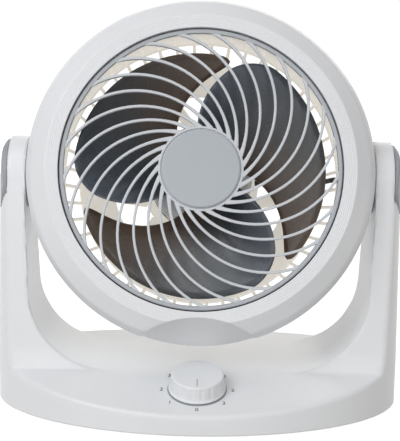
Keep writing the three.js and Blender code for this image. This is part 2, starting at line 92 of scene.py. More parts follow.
WORLD = Matrix.Identity(4)
HEAD = Matrix.Translation((0, 0, PIVOT_Z * MM)) @ Matrix.Rotation(math.radians(90 - REST_TILT), 4, "X")
KNOB_SEAT = Matrix.Translation((0, KNOB_Y * MM, panel_z(KNOB_Y) * MM)) @ Matrix.Rotation(
    math.radians(PANEL_SLOPE), 4, "X"
)
RIGHTWARD = Matrix.Translation((0, 0, PIVOT_Z * MM)) @ Matrix.Rotation(math.radians(90), 4, "Y")
LEFTWARD = Matrix.Translation((0, 0, PIVOT_Z * MM)) @ Matrix.Rotation(math.radians(-90), 4, "Y")


# ---------------------------------------------------------------- camera, light and floor
TARGET = Vector((0, 0, 0.133))
CAMERA_RISE = 10  # degrees above the horizon
CAMERA_ROLL = 1
CAMERA_FAR = 0.9
LONG_SIDE = 441
FOCAL = 1221  # in picture widths of one pixel


def aim(obj, place, target):
    """Puts a camera or lamp at a place, looking at a target."""
    obj.location = place
    obj.rotation_euler = (Vector(target) - Vector(place)).to_track_quat("-Z", "Y").to_euler()


def add_camera():
    data = bpy.data.cameras.new("camera")
    data.sensor_width = 36
    data.lens = 36 * FOCAL / LONG_SIDE
    data.clip_start = 0.01
    data.clip_end = 50
    camera = bpy.data.objects.new("camera", data)
    bpy.context.scene.collection.objects.link(camera)
    rise = math.radians(CAMERA_RISE)
    back = Vector((0, -math.cos(rise), math.sin(rise)))
    look = (-back).to_track_quat("-Z", "Y").to_matrix().to_4x4()
    roll = Matrix.Rotation(math.radians(CAMERA_ROLL), 4, "Z")
    camera.matrix_world = Matrix.Translation(TARGET + back * CAMERA_FAR) @ look @ roll
    bpy.context.scene.camera = camera


def add_lamp(name, place, size, power, colour):
    data = bpy.data.lights.new(name, "AREA")
    data.shape = "DISK"
    data.size = size
    data.energy = power
    data.color = colour
    lamp = bpy.data.objects.new(name, data)
    bpy.context.scene.collection.objects.link(lamp)
    aim(lamp, place, (0, 0, 0.14))


def add_studio():
    world = bpy.data.worlds.new("studio")
    bpy.context.scene.world = world
    world.use_nodes = True
    sky = world.node_tree.nodes["Background"]
    sky.inputs["Color"].default_value = (1, 0.975, 0.945, 1)
    sky.inputs["Strength"].default_value = 0.43
    add_lamp("key", (-1.1, -1.3, 1.3), 1.2, 15, (0.94, 0.97, 1))
    add_lamp("front", (-0.1, -1.6, 0.35), 1.2, 6, (1, 1, 1))
    add_lamp("top", (-0.3, -0.7, 1.8), 1.2, 3.5, (1, 1, 1))
    add_lamp("back", (0.3, 1.5, 0.9), 1.4, 4.5, (1, 0.98, 0.95))
    bpy.context.scene.view_settings.view_transform = "Standard"


def add_floor():
    """A pale floor that curves up into a backdrop, both well clear of the object."""
    profile = [(-3.0, 0.0), (1.6, 0.0)]
    for step in range(1, 13):
        turn = math.radians(90 * step / 12)
        profile.append((1.6 + math.sin(turn), 1 - math.cos(turn)))
    profile.append((2.6, 4.0))
    points = [(x, y, z) for x in (-4.0, 4.0) for y, z in profile]
    count = len(profile)
    faces = [(i, count + i, count + i + 1, i + 1) for i in range(count - 1)]
    mesh = bpy.data.meshes.new("floor")
    mesh.from_pydata(points, [], faces)
    mesh.shade_smooth()
    floor = bpy.data.objects.new("floor", mesh)
    bpy.context.scene.collection.objects.link(floor)
    paint = bpy.data.materials.new("floor_paper")
    paint.use_nodes = True
    shader = paint.node_tree.nodes["Principled BSDF"]
    shader.inputs["Base Color"].default_value = (0.62, 0.62, 0.62, 1)
    shader.inputs["Roughness"].default_value = 0.9
    shader.inputs["Emission Color"].default_value = (1, 1, 1, 1)
    shader.inputs["Emission Strength"].default_value = 0.75
    mesh.materials.append(paint)
    floor.visible_diffuse = False


add_camera()
add_studio()
add_floor()


# ---------------------------------------------------------------- materials
class Paint:
    """Builds one node material around a Principled shader."""

    def __init__(self, name):
        self.material = bpy.data.materials.new(name)
        self.material.use_nodes = True
        self.tree = self.material.node_tree
        self.shader = self.tree.nodes["Principled BSDF"]
        self.place = self.add("ShaderNodeTexCoord").outputs["Object"]

    def add(self, kind, **settings):
        node = self.tree.nodes.new(kind)
        for key, value in settings.items():
            setattr(node, key, value)
        return node

    def link(self, source, target):
        self.tree.links.new(source, target)

    def fixed(self, **values):
        """Sets shader sockets that are the same all over."""
        for key, value in values.items():
            self.shader.inputs[key.replace("_", " ")].default_value = value

    def noise(self, scale, detail=2.0, roughness=0.5, stretch=None):
        node = self.add("ShaderNodeTexNoise")
        node.inputs["Scale"].default_value = scale
        node.inputs["Detail"].default_value = detail
        node.inputs["Roughness"].default_value = roughness
        source = self.place
        if stretch:
            mapping = self.add("ShaderNodeMapping")
            mapping.inputs["Scale"].default_value = stretch
            self.link(self.place, mapping.inputs["Vector"])
            source = mapping.outputs["Vector"]
        self.link(source, node.inputs["Vector"])
        return node.outputs["Fac"]

    def ramp(self, source, stops):
        node = self.add("ShaderNodeValToRGB")
        band = node.color_ramp
        while len(band.elements) < len(stops):
            band.elements.new(0.5)
        for element, (place, colour) in zip(band.elements, stops):
            element.position = place
            element.color = (*colour, 1)
        self.link(source, node.inputs["Fac"])
        return node.outputs["Color"]

    def ranged(self, source, low, high):
        node = self.add("ShaderNodeMapRange")
        node.inputs["From Min"].default_value = 0.3
        node.inputs["From Max"].default_value = 0.7
        node.inputs["To Min"].default_value = low
        node.inputs["To Max"].default_value = high
        self.link(source, node.inputs["Value"])
        return node.outputs["Result"]

    def bump(self, source, distance, strength=1.0, below=None):
        node = self.add("ShaderNodeBump")
        node.inputs["Distance"].default_value = distance
        node.inputs["Strength"].default_value = strength
        self.link(source, node.inputs["Height"])
        if below:
            self.link(below, node.inputs["Normal"])
        return node.outputs["Normal"]

    def mix(self, factor, first, second, blend="MIX"):
        node = self.add("ShaderNodeMix", data_type="RGBA", blend_type=blend)
        if isinstance(factor, float):
            node.inputs[0].default_value = factor
        else:
            self.link(factor, node.inputs[0])
        self.link(first, node.inputs[6])
        self.link(second, node.inputs[7])
        return node.outputs[2]

    def to(self, socket, source):
        self.link(source, self.shader.inputs[socket])


def shade(colour, gain):
    return tuple(min(1.0, c * gain) for c in colour)


def moulded(name, colour, rough, grain=2600, relief=0.00002, drift=0.03, sheen=0.0, glow=0.0):
    """Injection-moulded plastic: a fine spark grain, faint flow clouds and uneven gloss."""
    paint = Paint(name)
    clouds = paint.noise(14, 3.0, 0.6)
    flecks = paint.noise(900, 2.0, 0.7)
    base = paint.ramp(clouds, [(0.3, shade(colour, 1 - drift)), (0.7, shade(colour, 1 + drift * 0.4))])
    fine = paint.ramp(flecks, [(0.35, (0.975, 0.975, 0.975)), (0.65, (1, 1, 1))])
    paint.to("Base Color", paint.mix(1.0, base, fine, "MULTIPLY"))
    paint.to("Roughness", paint.ranged(paint.noise(220, 4.0, 0.6), rough - 0.05, rough + 0.05))
    slow = paint.bump(paint.noise(38, 1.0), 0.00012, 0.35)
    paint.to("Normal", paint.bump(paint.noise(grain, 2.0), relief, 0.6, slow))
    paint.fixed(Coat_Weight=sheen, Coat_Roughness=0.12)
    if glow:
        paint.fixed(Emission_Color=(*colour, 1), Emission_Strength=glow)
    return paint.material


def metal(name, colour, rough, stretch, relief=0.00003):
    """Plated, cast or brushed metal with a directional finish."""
    paint = Paint(name)
    brushed = paint.noise(900, 3.0, 0.6, stretch)
    base = paint.ramp(brushed, [(0.3, shade(colour, 0.82)), (0.7, shade(colour, 1.08))])
    stains = paint.ramp(paint.noise(60, 3.0), [(0.35, (0.86, 0.86, 0.87)), (0.6, (1, 1, 1))])
    paint.to("Base Color", paint.mix(1.0, base, stains, "MULTIPLY"))
    paint.to("Roughness", paint.ranged(brushed, rough - 0.08, rough + 0.1))
    paint.to("Normal", paint.bump(brushed, relief, 0.5))
    paint.fixed(Metallic=1.0)
    return paint.material


def wound_wire(name, colour):
    """Enamelled wire laid side by side."""
    paint = Paint(name)
    strands = paint.add("ShaderNodeTexWave", wave_type="RINGS", rings_direction="Z")
    strands.inputs["Scale"].default_value = 420
    strands.inputs["Distortion"].default_value = 1.6
    paint.link(paint.place, strands.inputs["Vector"])
    turns = strands.outputs["Fac"]
    paint.to("Base Color", paint.ramp(turns, [(0.2, shade(colour, 0.35)), (0.6, colour)]))
    paint.to("Roughness", paint.ranged(paint.noise(300), 0.25, 0.4))
    paint.to("Normal", paint.bump(turns, 0.0002))
    paint.fixed(Metallic=0.7)
    return paint.material


def stacked_steel(name, colour):
    """Varnished laminations stacked along the motor axis."""
    paint = Paint(name)
    sheets = paint.add("ShaderNodeTexWave", wave_type="BANDS", bands_direction="Y")
    sheets.inputs["Scale"].default_value = 500
    sheets.inputs["Distortion"].default_value = 0.4
    paint.link(paint.place, sheets.inputs["Vector"])
    edges = sheets.outputs["Fac"]
    paint.to("Base Color", paint.ramp(edges, [(0.25, shade(colour, 0.6)), (0.6, colour)]))
    paint.to("Roughness", paint.ranged(paint.noise(200), 0.4, 0.6))
    paint.to("Normal", paint.bump(edges, 0.0001))
    paint.fixed(Metallic=0.6)
    return paint.material


def blade_plastic():
    """Dark smoked plastic, with painted warm light towards the leading tip and a painted cool reflection
    towards the trailing edge.
    """
    paint = Paint("smoked_blade_plastic")
    sweep = paint.add("ShaderNodeAttribute", attribute_name="sweep").outputs["Fac"]
    # The ramp along the sweep paints light: a warm brown glow towards the leading tip and a lighter
    # blue-grey painted reflection at the trailing edge. The dark smoke between them is the plastic's own
    # colour.
    base = paint.ramp(sweep, [
        (0.0, (0.105, 0.07, 0.052)),
        (0.25, (0.085, 0.066, 0.054)),
        (0.5, (0.05, 0.054, 0.058)),
        (0.8, (0.04, 0.049, 0.062)),
        (1.0, (0.075, 0.092, 0.118)),
    ])
    clouds = paint.ramp(paint.noise(30, 3.0, 0.6), [(0.3, (0.85, 0.85, 0.86)), (0.7, (1, 1, 1))])
    paint.to("Base Color", paint.mix(1.0, base, clouds, "MULTIPLY"))
    paint.to("Roughness", paint.ranged(paint.noise(60, 3.0, 0.6), 0.22, 0.34))
    slow = paint.bump(paint.noise(45, 1.0), 0.0003, 0.5)
    paint.to("Normal", paint.bump(paint.noise(1800, 2.0), 0.00002, 0.5, slow))
    return paint.material


WHITE = moulded("white_shell_plastic", (0.80, 0.815, 0.835), 0.36)
BEZEL_WHITE = moulded("bezel_plastic", (0.78, 0.795, 0.82), 0.33)
GREY = moulded("grey_trim_plastic", (0.33, 0.345, 0.38), 0.42, grain=1500, relief=0.00004)
SILVER = moulded("silver_guard_plastic", (0.60, 0.625, 0.66), 0.32, drift=0.04, sheen=0.15)
RIM_SILVER = moulded("guard_rim_plastic", (0.43, 0.455, 0.485), 0.34, drift=0.04)
HUB_SILVER = moulded("hub_plastic", (0.44, 0.475, 0.51), 0.38, grain=1200, relief=0.00003)
# The glow stands for the daylight that comes through the thin cream plastic.
CREAM = moulded("cream_guard_plastic", (0.77, 0.74, 0.685), 0.48, drift=0.05, glow=0.45)
BLADE = blade_plastic()
BLACK = moulded("black_plastic", (0.03, 0.03, 0.032), 0.5, relief=0.00004, drift=0.2)
NYLON = moulded("natural_nylon", (0.76, 0.73, 0.65), 0.45, drift=0.06)
RUBBER = moulded("pad_rubber", (0.03, 0.03, 0.032), 0.85, grain=900, relief=0.00008, drift=0.3)
INK = moulded("dial_ink", (0.09, 0.095, 0.1), 0.55, drift=0.2)
STEEL = metal("plated_steel", (0.62, 0.63, 0.64), 0.3, (1, 1, 12))
CAST = metal("cast_alloy", (0.58, 0.59, 0.6), 0.48, (1, 1, 1), 0.00012)
LAMINATIONS = stacked_steel("laminations", (0.16, 0.165, 0.18))
COPPER = wound_wire("copper_winding", (0.55, 0.24, 0.1))

SLOT_FINISH = {
    "white_shell": WHITE,
    "grey_trim": GREY,
    "silver_guard": SILVER,
    "cream_guard": CREAM,
    "blade_plastic": BLACK,
    "black_plastic": BLACK,
    "nylon": NYLON,
    "rubber": RUBBER,
    "steel": STEEL,
    "cast_alloy": CAST,
    "laminations": LAMINATIONS,
    "copper_wire": COPPER,
}
for subpart in frame["record"]["subparts"]:
    node = frame["nodes"][subpart["node"]]
    for place in node.material_slots:
        place.material = SLOT_FINISH[subpart["material_slot"]]


# ---------------------------------------------------------------- mesh helpers
def polar(r, degrees):
    return r * math.cos(math.radians(degrees)), r * math.sin(math.radians(degrees))


def arc(cx, cy, r, start, end, steps):
    turns = np.linspace(start, end, steps + 1)
    return [(cx + polar(r, t)[0], cy + polar(r, t)[1]) for t in turns]


def soften(points, radius, steps=4, closed=True):
    """Rounds the corners of a flat outline.  A third value in a point is its own radius."""
    count = len(points)
    rounded = []
    for i, point in enumerate(points):
        here = np.array(point[:2], float)
        reach = point[2] if len(point) > 2 else radius
        if reach == 0 or (not closed and i in (0, count - 1)):
            rounded.append(tuple(here))
            continue
        before = np.array(points[i - 1][:2], float) - here
        after = np.array(points[(i + 1) % count][:2], float) - here
        run_in = np.linalg.norm(before)
        run_out = np.linalg.norm(after)
        half = 0.5 * math.acos(np.clip(before @ after / (run_in * run_out), -1, 1))
        reach = min(reach / math.tan(half), 0.45 * run_in, 0.45 * run_out)
        start = here + before / run_in * reach
        end = here + after / run_out * reach
        for t in np.linspace(0, 1, steps + 1):
            rounded.append(tuple((1 - t) ** 2 * start + 2 * t * (1 - t) * here + t * t * end))
    return rounded


def sheet_faces(rows, columns, wrap_rows=False, wrap_columns=False):
    """Quads between the points of a grid stored row by row."""
    faces = []
    for i in range(rows if wrap_rows else rows - 1):
        for j in range(columns if wrap_columns else columns - 1):
            down = (i + 1) % rows
            across = (j + 1) % columns
            faces.append((
                i * columns + j,
                down * columns + j,
                down * columns + across,
                i * columns + across,
            ))
    return faces


def turned(profile, segments=160, closed=True, angles=None):
    """A profile of (radius, height) turned about Z."""
    if angles is None:
        angles = np.arange(segments) * 360 / segments
    points = []
    for angle in angles:
        points.extend((*polar(r, angle), h) for r, h in profile)
    return points, sheet_faces(len(angles), len(profile), True, closed)


def build(name, parts, place=WORLD, crease=32):
    """One object from several (points, faces) in millimetres."""
    points = []
    faces = []
    for more_points, more_faces in parts:
        offset = len(points)
        points.extend(more_points)
        faces.extend(tuple(corner + offset for corner in face) for face in more_faces)
    mesh = bpy.data.meshes.new(name)
    mesh.from_pydata((np.array(points, float) * MM).tolist(), [], faces)
    work = bmesh.new()
    work.from_mesh(mesh)
    bmesh.ops.remove_doubles(work, verts=work.verts, dist=2e-6)
    bmesh.ops.recalc_face_normals(work, faces=work.faces)
    work.to_mesh(mesh)
    work.free()
    mesh.shade_smooth()
    mesh.set_sharp_from_angle(angle=math.radians(crease))
    mesh.transform(place)
    obj = bpy.data.objects.new(name, mesh)
    bpy.context.scene.collection.objects.link(obj)
    return obj


def fit(obj, body, slot, paint, *stands_for):
    """Paints a piece, hangs it on its body and hides the CAD nodes that it stands for."""
    obj.data.materials.clear()
    obj.data.materials.append(paint)
    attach(obj, body)
    if stands_for:
        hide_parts(*stands_for)
    return obj


def tube_faces(rows, columns):
    """Faces of a closed bar made of rings of points, with both ends shut."""
    faces = sheet_faces(rows, columns, False, True)
    faces.append(tuple(range(columns)))
    faces.append(tuple(range((rows - 1) * columns, rows * columns)))
    return faces


def swept(stations, section):
    """A bar through (centre, across) stations in a plane; section(i) gives (across, height)."""
    points = []
    for i, (centre, across) in enumerate(stations):
        for reach, height in section(i):
            points.append((*(np.array(centre) + np.array(across) * reach), height))
    return points, tube_faces(len(stations), len(points) // len(stations))


def rib(path, turn, half, deep):
    """A rounded bar along (radius, height) points at one angle; depth is to the left of the path."""
    out = np.array([*polar(1, turn), 0])
    side = np.array([-out[1], out[0], 0])
    up = np.array([0, 0, 1])
    section = soften([(-half, 0, 0.3), (half, 0, 0.3), (half, deep, 0.45), (-half, deep, 0.45)], 0, 2)
    points = []
    for i, here in enumerate(path):
        before = path[max(i - 1, 0)]
        after = path[min(i + 1, len(path) - 1)]
        along = np.array(after, float) - np.array(before, float)
        along /= np.linalg.norm(along)
        for across, off in section:
            r = here[0] - along[1] * off
            h = here[1] + along[0] * off
            points.append(tuple(out * r + up * h + side * across))
    return points, tube_faces(len(path), len(section))


# ---------------------------------------------------------------- stand housing
def polygon_distance(points, u, v):
    """Signed distance to a closed polygon, negative inside."""
    corners = np.array(points, float)
    others = np.roll(corners, 1, axis=0)
    best = np.full(np.broadcast(u, v).shape, 1e18)
    sign = np.ones_like(best)
    for (ax, ay), (bx, by) in zip(corners, others):
        ex, ey = bx - ax, by - ay
        wx, wy = u - ax, v - ay
        t = np.clip((wx * ex + wy * ey) / (ex * ex + ey * ey + 1e-12), 0, 1)
        best = np.minimum(best, (wx - ex * t) ** 2 + (wy - ey * t) ** 2)
        above = v >= ay
        below = v < by
        left = ex * wy > ey * wx
        cross = (above & below & left) | (~above & ~below & ~left)
        sign = np.where(cross, -sign, sign)
    return sign * np.sqrt(best)


def both(a, b, radius):
    """Rounded intersection of two distance fields."""
    corner = np.hypot(np.maximum(a + radius, 0), np.maximum(b + radius, 0))
    return np.minimum(-radius, np.maximum(a, b)) + corner


def side_outline():
    """Arm and base seen from the side, as (y, z)."""
    arch = arc(0, PIVOT_Z, ARM_TOP_R, 184, -4, 28)
    points = [
        (-120, -12, 0), (-120, panel_z(-120), 0), (-42, panel_z(-42), 3), (-38, 42, 20),
        *[(y, z, 0) for y, z in arch],
        (38, 42, 20), (FLAT_BACK, FLOOR_Z, 6), (STAND_B, REAR_Z, 4),
        (120, REAR_Z - 3, 0), (120, -12, 0),
    ]
    return soften(points, 0, 6)


def front_outline():
    """The U seen from the front, as (x, z)."""
    centre_x = U_GAP - U_RADIUS
    centre_z = FLOOR_Z + U_RADIUS
    right = arc(centre_x, centre_z, U_RADIUS, 0, -90, 24)
    left = arc(-centre_x, centre_z, U_RADIUS, -90, -180, 24)
    shoulder = [(x, PIVOT_Z + z, 12) for x, z in ARM_SHOULDER]
    mirrored = [(-x, z, r) for x, z, r in reversed(shoulder)]
    top = shoulder[-1][1]
    points = [
        (-170, -12), (170, -12), (170, PIVOT_Z - 4), *shoulder,
        (ARM_GAP, top), (ARM_GAP, U_LEAN_Z, 30), *right,
        *left, (-ARM_GAP, U_LEAN_Z, 30), (-ARM_GAP, top),
        *mirrored, (-170, PIVOT_Z - 4),
    ]
    return soften([p if len(p) > 2 else (*p, 0) for p in points], 0, 4)


SIDE = side_outline()
FRONT = front_outline()
PANEL_UP = (math.sin(math.radians(PANEL_SLOPE)), math.cos(math.radians(PANEL_SLOPE)))


def outer_distance(x, y, z):
    """Signed distance to the outer form of the stand, before its holes."""
    side = polygon_distance(SIDE, y, z)
    front = polygon_distance(FRONT, x, z)
    lean = np.clip((z - FLOOR_Z) / (PIVOT_Z - FLOOR_Z), 0, 1)
    half = STAND_A - ARM_DRAFT * lean
    depth = half * STAND_B / STAND_A
    near = np.hypot(x / half, y / depth)
    plan = near * (near - 1) / np.maximum(np.hypot(x / half**2, y / depth**2), 1e-9)
    upper = np.clip((z - 30) / 30, 0, 1)
    panel = (z - panel_z(y)) * math.cos(math.radians(PANEL_SLOPE))
    rear = z - FLOOR_Z + (y - FLAT_BACK) * (FLOOR_Z - REAR_Z) / (STAND_B - FLAT_BACK)
    top = np.maximum(panel, rear)
    blend = np.maximum(CREASE_SOFT - np.abs(top - front), 0) ** 2 / (4 * CREASE_SOFT)
    middle = np.clip((84 - np.abs(x)) / 30, 0, 1) * np.clip((40 - z) / 4, 0, 1)
    body = both(side, front, 1.2)
    body = body + middle * (np.maximum(top, front) + blend - body)
    return both(body, plan, 2.0 + 0.6 * upper)


def stand_distance(x, y, z):
    """Signed distance to the outer skin of the stand."""
    body = outer_distance(x, y, z)
    recess = np.maximum(np.hypot(y, z - PIVOT_Z - RECESS_UP) - RECESS_R, CAP_LAND - np.abs(x))
    body = both(body, -recess, 0.5)
    pivot_hole = np.hypot(y, z - PIVOT_Z) - 9.5
    body = both(body, -pivot_hole, 0.5)
    rise = z - panel_z(KNOB_Y)
    reach = y - KNOB_Y
    along = rise * PANEL_UP[1] - reach * PANEL_UP[0]
    across = np.hypot(x, reach * PANEL_UP[1] + rise * PANEL_UP[0])
    body = both(body, -np.maximum(across - 4, np.abs(along) - 7), 0.4)
    gland = np.maximum(np.hypot(x, z - GLAND_Z) - GLAND_HOLE_R, 80 - y)
    return both(body, -gland, 0.5)


def cap_distance(x, y, z):
    """Signed distance to a pivot cap, which carries on the outer form across its recess."""
    disc = np.hypot(y, z - PIVOT_Z) - CAP_R
    return both(both(outer_distance(x, y, z), disc, 0.5), CAP_LAND + 0.3 - x, 0.3)


def slope_of(distance, at, step=0.05):
    """Unit gradient of a distance field at many points."""
    slope = np.empty_like(at)
    for axis in range(3):
        shift = np.zeros(3)
        shift[axis] = step
        slope[:, axis] = distance(*(at + shift).T) - distance(*(at - shift).T)
    return slope / np.maximum(np.linalg.norm(slope, axis=1, keepdims=True), 1e-9)


def skin(distance, low, high, cell):
    """Points and quads of a distance field's zero surface."""
    axes = [np.arange(a, b + cell, cell) for a, b in zip(low, high)]
    field = distance(axes[0][:, None, None], axes[1][None, :, None], axes[2][None, None, :])
    inside = field < 0
    shape = np.array(field.shape) - 1
    filled = np.zeros(shape, int)
    for dx in (0, 1):
        for dy in (0, 1):
            for dz in (0, 1):
                block = inside[dx:dx + shape[0], dy:dy + shape[1], dz:dz + shape[2]]
                filled += block
    mixed = (filled > 0) & (filled < 8)
    index = np.full(shape, -1)
    index[mixed] = np.arange(mixed.sum())
    corner = np.argwhere(mixed)
    points = np.array(low) + (corner + 0.5) * cell
    quads = []
    for axis in range(3):
        u, v = (axis + 1) % 3, (axis + 2) % 3
        near = np.take(inside, np.arange(inside.shape[axis] - 1), axis)
        far = np.take(inside, np.arange(1, inside.shape[axis]), axis)
        edge = np.argwhere(near != far)
        limit = np.array(inside.shape) - 1
        keep = (edge[:, u] > 0) & (edge[:, v] > 0) & (edge[:, u] < limit[u]) & (edge[:, v] < limit[v])
        edge = edge[keep]
        step_u = np.eye(3, dtype=int)[u]
        step_v = np.eye(3, dtype=int)[v]
        ring = [edge, edge - step_u, edge - step_u - step_v, edge - step_v]
        quads.append(np.stack([index[tuple(cells.T)] for cells in ring], 1))
    return points, np.concatenate(quads)


def settle(distance, points, quads, rounds=4):
    """Pulls points onto the surface and evens them out along it."""
    pairs = np.concatenate([quads[:, [i, (i + 1) % 4]] for i in range(4)])
    pairs = np.concatenate([pairs, pairs[:, ::-1]])
    degree = np.bincount(pairs[:, 0], minlength=len(points))[:, None]
    for step in range(rounds):
        if step:
            total = np.zeros_like(points)
            for axis in range(3):
                total[:, axis] = np.bincount(pairs[:, 0], points[pairs[:, 1], axis], len(points))
            points = points + 0.5 * (total / np.maximum(degree, 1) - points)
        for _ in range(3):
            off = distance(*points.T)[:, None]
            points = points - np.clip(off, -1.5, 1.5) * slope_of(distance, points)
    return points


STAND_CELL = 1.7
points, quads = skin(stand_distance, (-150, -98, -4), (150, 98, 196), STAND_CELL)
points = settle(stand_distance, points, quads)
stand = build("stand_shell", [(points.tolist(), quads.tolist())], crease=50)
work = bmesh.new()
work.from_mesh(stand.data)
bmesh.ops.bisect_plane(
    work,
    geom=work.verts[:] + work.edges[:] + work.faces[:],
    plane_co=(0, 0, SKIRT_Z * MM),
    plane_no=(0, 0, 1),
    clear_inner=True,
)
work.to_mesh(stand.data)
work.free()
wall = stand.modifiers.new("wall", "SOLIDIFY")
wall.thickness = 2.3 * MM
wall.offset = -1
fit(stand, "stand", "white_shell", WHITE, *[n for n in frame["nodes"] if n.startswith("stand_")])


# ---------------------------------------------------------------- head: bezel
OPENING_R = 99.3
LINING_R = 102.2  # inside of the bezel's wall at the opening
OPENING_BACK = 43.8
FACE_Z = 50  # front of the bezel ahead of the tilt axis
GROOVES = 6
GROOVE_FIRST_R = 100.9
GROOVE_PITCH = 1.32
GROOVE_DEPTH = 0.14
SCOOP_APEX = 103.2  # how far below the axis the scoop begins
SCOOP_ARC = 66  # radius of its upper edge, seen from in front
SCOOP_HALF = 41
SCOOP_LOW = (HEAD_R - 0.1, SEAM + 2.2)
SCOOP_HOLLOW = 1.1
SCOOP_WALL = 1.6
SCOOP_EDGE = 0.3  # softness of the line where the scoop meets the face


def bezel_face():
    """Outer line of the bezel from the opening to the seam, with fine rings on the front."""
    line = [(OPENING_R, OPENING_BACK, 0.3), (OPENING_R, FACE_Z, 0.7)]
    for ring in range(GROOVES):
        middle = GROOVE_FIRST_R + GROOVE_PITCH * ring
        for off, sunk in ((-0.34, 0), (-0.06, GROOVE_DEPTH), (0.06, GROOVE_DEPTH), (0.34, 0)):
            line.append((middle + off, FACE_Z - sunk, 0.1))
    line.extend([(108.6, 49.9, 5), (119.9, 40.9, 9), (RING_R, 32, 5), (HEAD_R, SEAM + 0.3, 0.6)])
    return line


def bezel_angles():
    """Finer steps around the thumb scoop at the bottom."""
    scoop = np.linspace(-116, -64, 150)
    rest = np.linspace(-64, 244, 200)[1:-1]
    return np.concatenate([scoop, rest])


def bezel_height(r):
    """Height of the bezel's outer face at a radius."""
    return np.interp(r, [99, 108.2, 110, 119.2, 121, 123, RING_R], [50, 50, 49, 41.6, 39.4, 35.2, 32])


def scooped(points, under=0.0):
    """Presses the thumb scoop into the bottom of the bezel, or its lining further under it."""
    at = np.array(points, float)
    x = np.clip(at[:, 0], -SCOOP_HALF, SCOOP_HALF)
    top = SCOOP_APEX + SCOOP_ARC - np.sqrt(SCOOP_ARC**2 - x**2)
    top_height = bezel_height(np.hypot(x, top))
    low = np.sqrt(SCOOP_LOW[0] ** 2 - x**2)
    run = low - top
    fall = top_height - SCOOP_LOW[1]
    length = np.hypot(run, fall)
    reach = -at[:, 1] - top
    rise = at[:, 2] - top_height
    over = (reach * fall + rise * run) / length + under
    t = np.clip((reach * run - rise * fall) / length**2, 0, 1)
    over = over + SCOOP_HOLLOW * 4 * t * (1 - t) * (1 - (x / SCOOP_HALF) ** 2)
    push = 0.5 * (over + np.sqrt(over * over + SCOOP_EDGE**2)) * (over > -3 * SCOOP_EDGE)
    inside = (at[:, 1] < -60) & (at[:, 2] > SEAM + 1) & (np.abs(at[:, 0]) < SCOOP_HALF)
    push = np.where(inside, push, 0)
    at[:, 1] += push * fall / length
    at[:, 2] -= push * run / length
    return at.tolist()


def densify(line, step):
    """Adds points along a line wherever two are further apart than the step."""
    dense = [line[0]]
    for before, after in zip(line, line[1:]):
        gap = math.dist(before, after)
        parts = max(1, math.ceil(gap / step))
        for k in range(1, parts + 1):
            t = k / parts
            dense.append(tuple(a + (b - a) * t for a, b in zip(before, after)))
    return dense


outer = densify(soften(bezel_face(), 0, 5, closed=False), 0.9)
inner = soften([
    (120.5, SEAM + 0.3, 0.3), (117, 38.6, 4), (106.8, 47, 2), (LINING_R, 47, 1),
    (LINING_R, OPENING_BACK, 0.3),
], 0)
points, faces = turned(outer, closed=False, angles=bezel_angles())
lining_points, lining_faces = turned(densify(inner, 2), 180, closed=False)
lining = (scooped(lining_points, SCOOP_WALL), lining_faces)
edge_front = turned([(OPENING_R, OPENING_BACK), (LINING_R, OPENING_BACK)], 160, closed=False)
edge_back = turned([(HEAD_R - 0.1, SEAM + 0.3), (120.5, SEAM + 0.3)], 160, closed=False)
ledge = turned(soften([(96.5, 41.5), (LINING_R, 41.5), (LINING_R, 43.7), (96.5, 43.7)], 0.4), 120)
bezel = build("bezel_ring", [(scooped(points), faces), lining, edge_front, edge_back, ledge], HEAD, 28)
fit(bezel, "head", "white_shell", BEZEL_WHITE, "front_bezel")
# This black ring is painted shade: it darkens the gap between the bezel and the guard rim.
shadow_ring_line = soften([(98.0, 43.72), (99.26, 43.72), (99.26, 45.0), (98.4, 45.0)], 0.2)
shadow_ring = build("guard_shadow_ring", [turned(shadow_ring_line, 160)], HEAD)
fit(shadow_ring, "head", "black_plastic", BLACK)

# ---------------------------------------------------------------- head: drum
DRUM_LINE = [
    (HEAD_R, SEAM, 0.5), (122.4, 10, 20), (120.6, 0, 12), (116, -7, 7), (109, -10.4, 7),
    (103.3, -11, 0.6), (103.3, -8.4, 0.6), (108.2, -7.9, 5), (114.2, -4.6, 5),
    (118, 2, 8), (119.9, 11, 15), (120.5, SEAM, 0.5),
]
PIVOT_LINE = [(9.5, 104, 0.4), (20, 104, 0.6), (20, HEAD_R - 0.2, 0.4), (9.5, HEAD_R - 0.2, 0.6)]


def sideways(part, sign):
    """Turns a part made along Z to lie along +X or -X."""
    points, faces = part
    return [(sign * z, sign * y, x) for x, y, z in points], faces


drum_parts = [turned(soften(DRUM_LINE, 0, 6), 180)]
for sign in (-1, 1):
    drum_parts.append(sideways(turned(soften(PIVOT_LINE, 0), 72), sign))
drum = build("drum_shell", drum_parts, HEAD, 40)
fit(drum, "head", "white_shell", WHITE, "drum_housing")

# The duct behind the guard, with a low rib in line with each rib of the rear guard.
duct_line = [(DUCT_R, -5.7, 0.4), (DUCT_R + 2.3, -5.7, 0.4), (DUCT_R + 2.3, 39, 0.4), (DUCT_R, 39, 0.8)]
duct_parts = [turned(soften(duct_line, 0), 180)]
duct_rib = [(DUCT_R + 0.1, -5.6), (DUCT_R + 0.1, 34)]
for n in range(REAR_RIBS):
    duct_parts.append(rib(duct_rib, (n + 0.5) * 360 / REAR_RIBS, 0.55, 0.65))
duct = build("air_duct_ring", duct_parts, HEAD, 40)
fit(duct, "head", "cream_guard", CREAM, "air_duct")

# ---------------------------------------------------------------- head: front guard
BAR_ARC_R = 64.7
BAR_CENTRE_R = 46.4
BAR_CENTRE_ANGLE = 121.2
BAR_FROM = 28.9
BAR_TO = 97.2


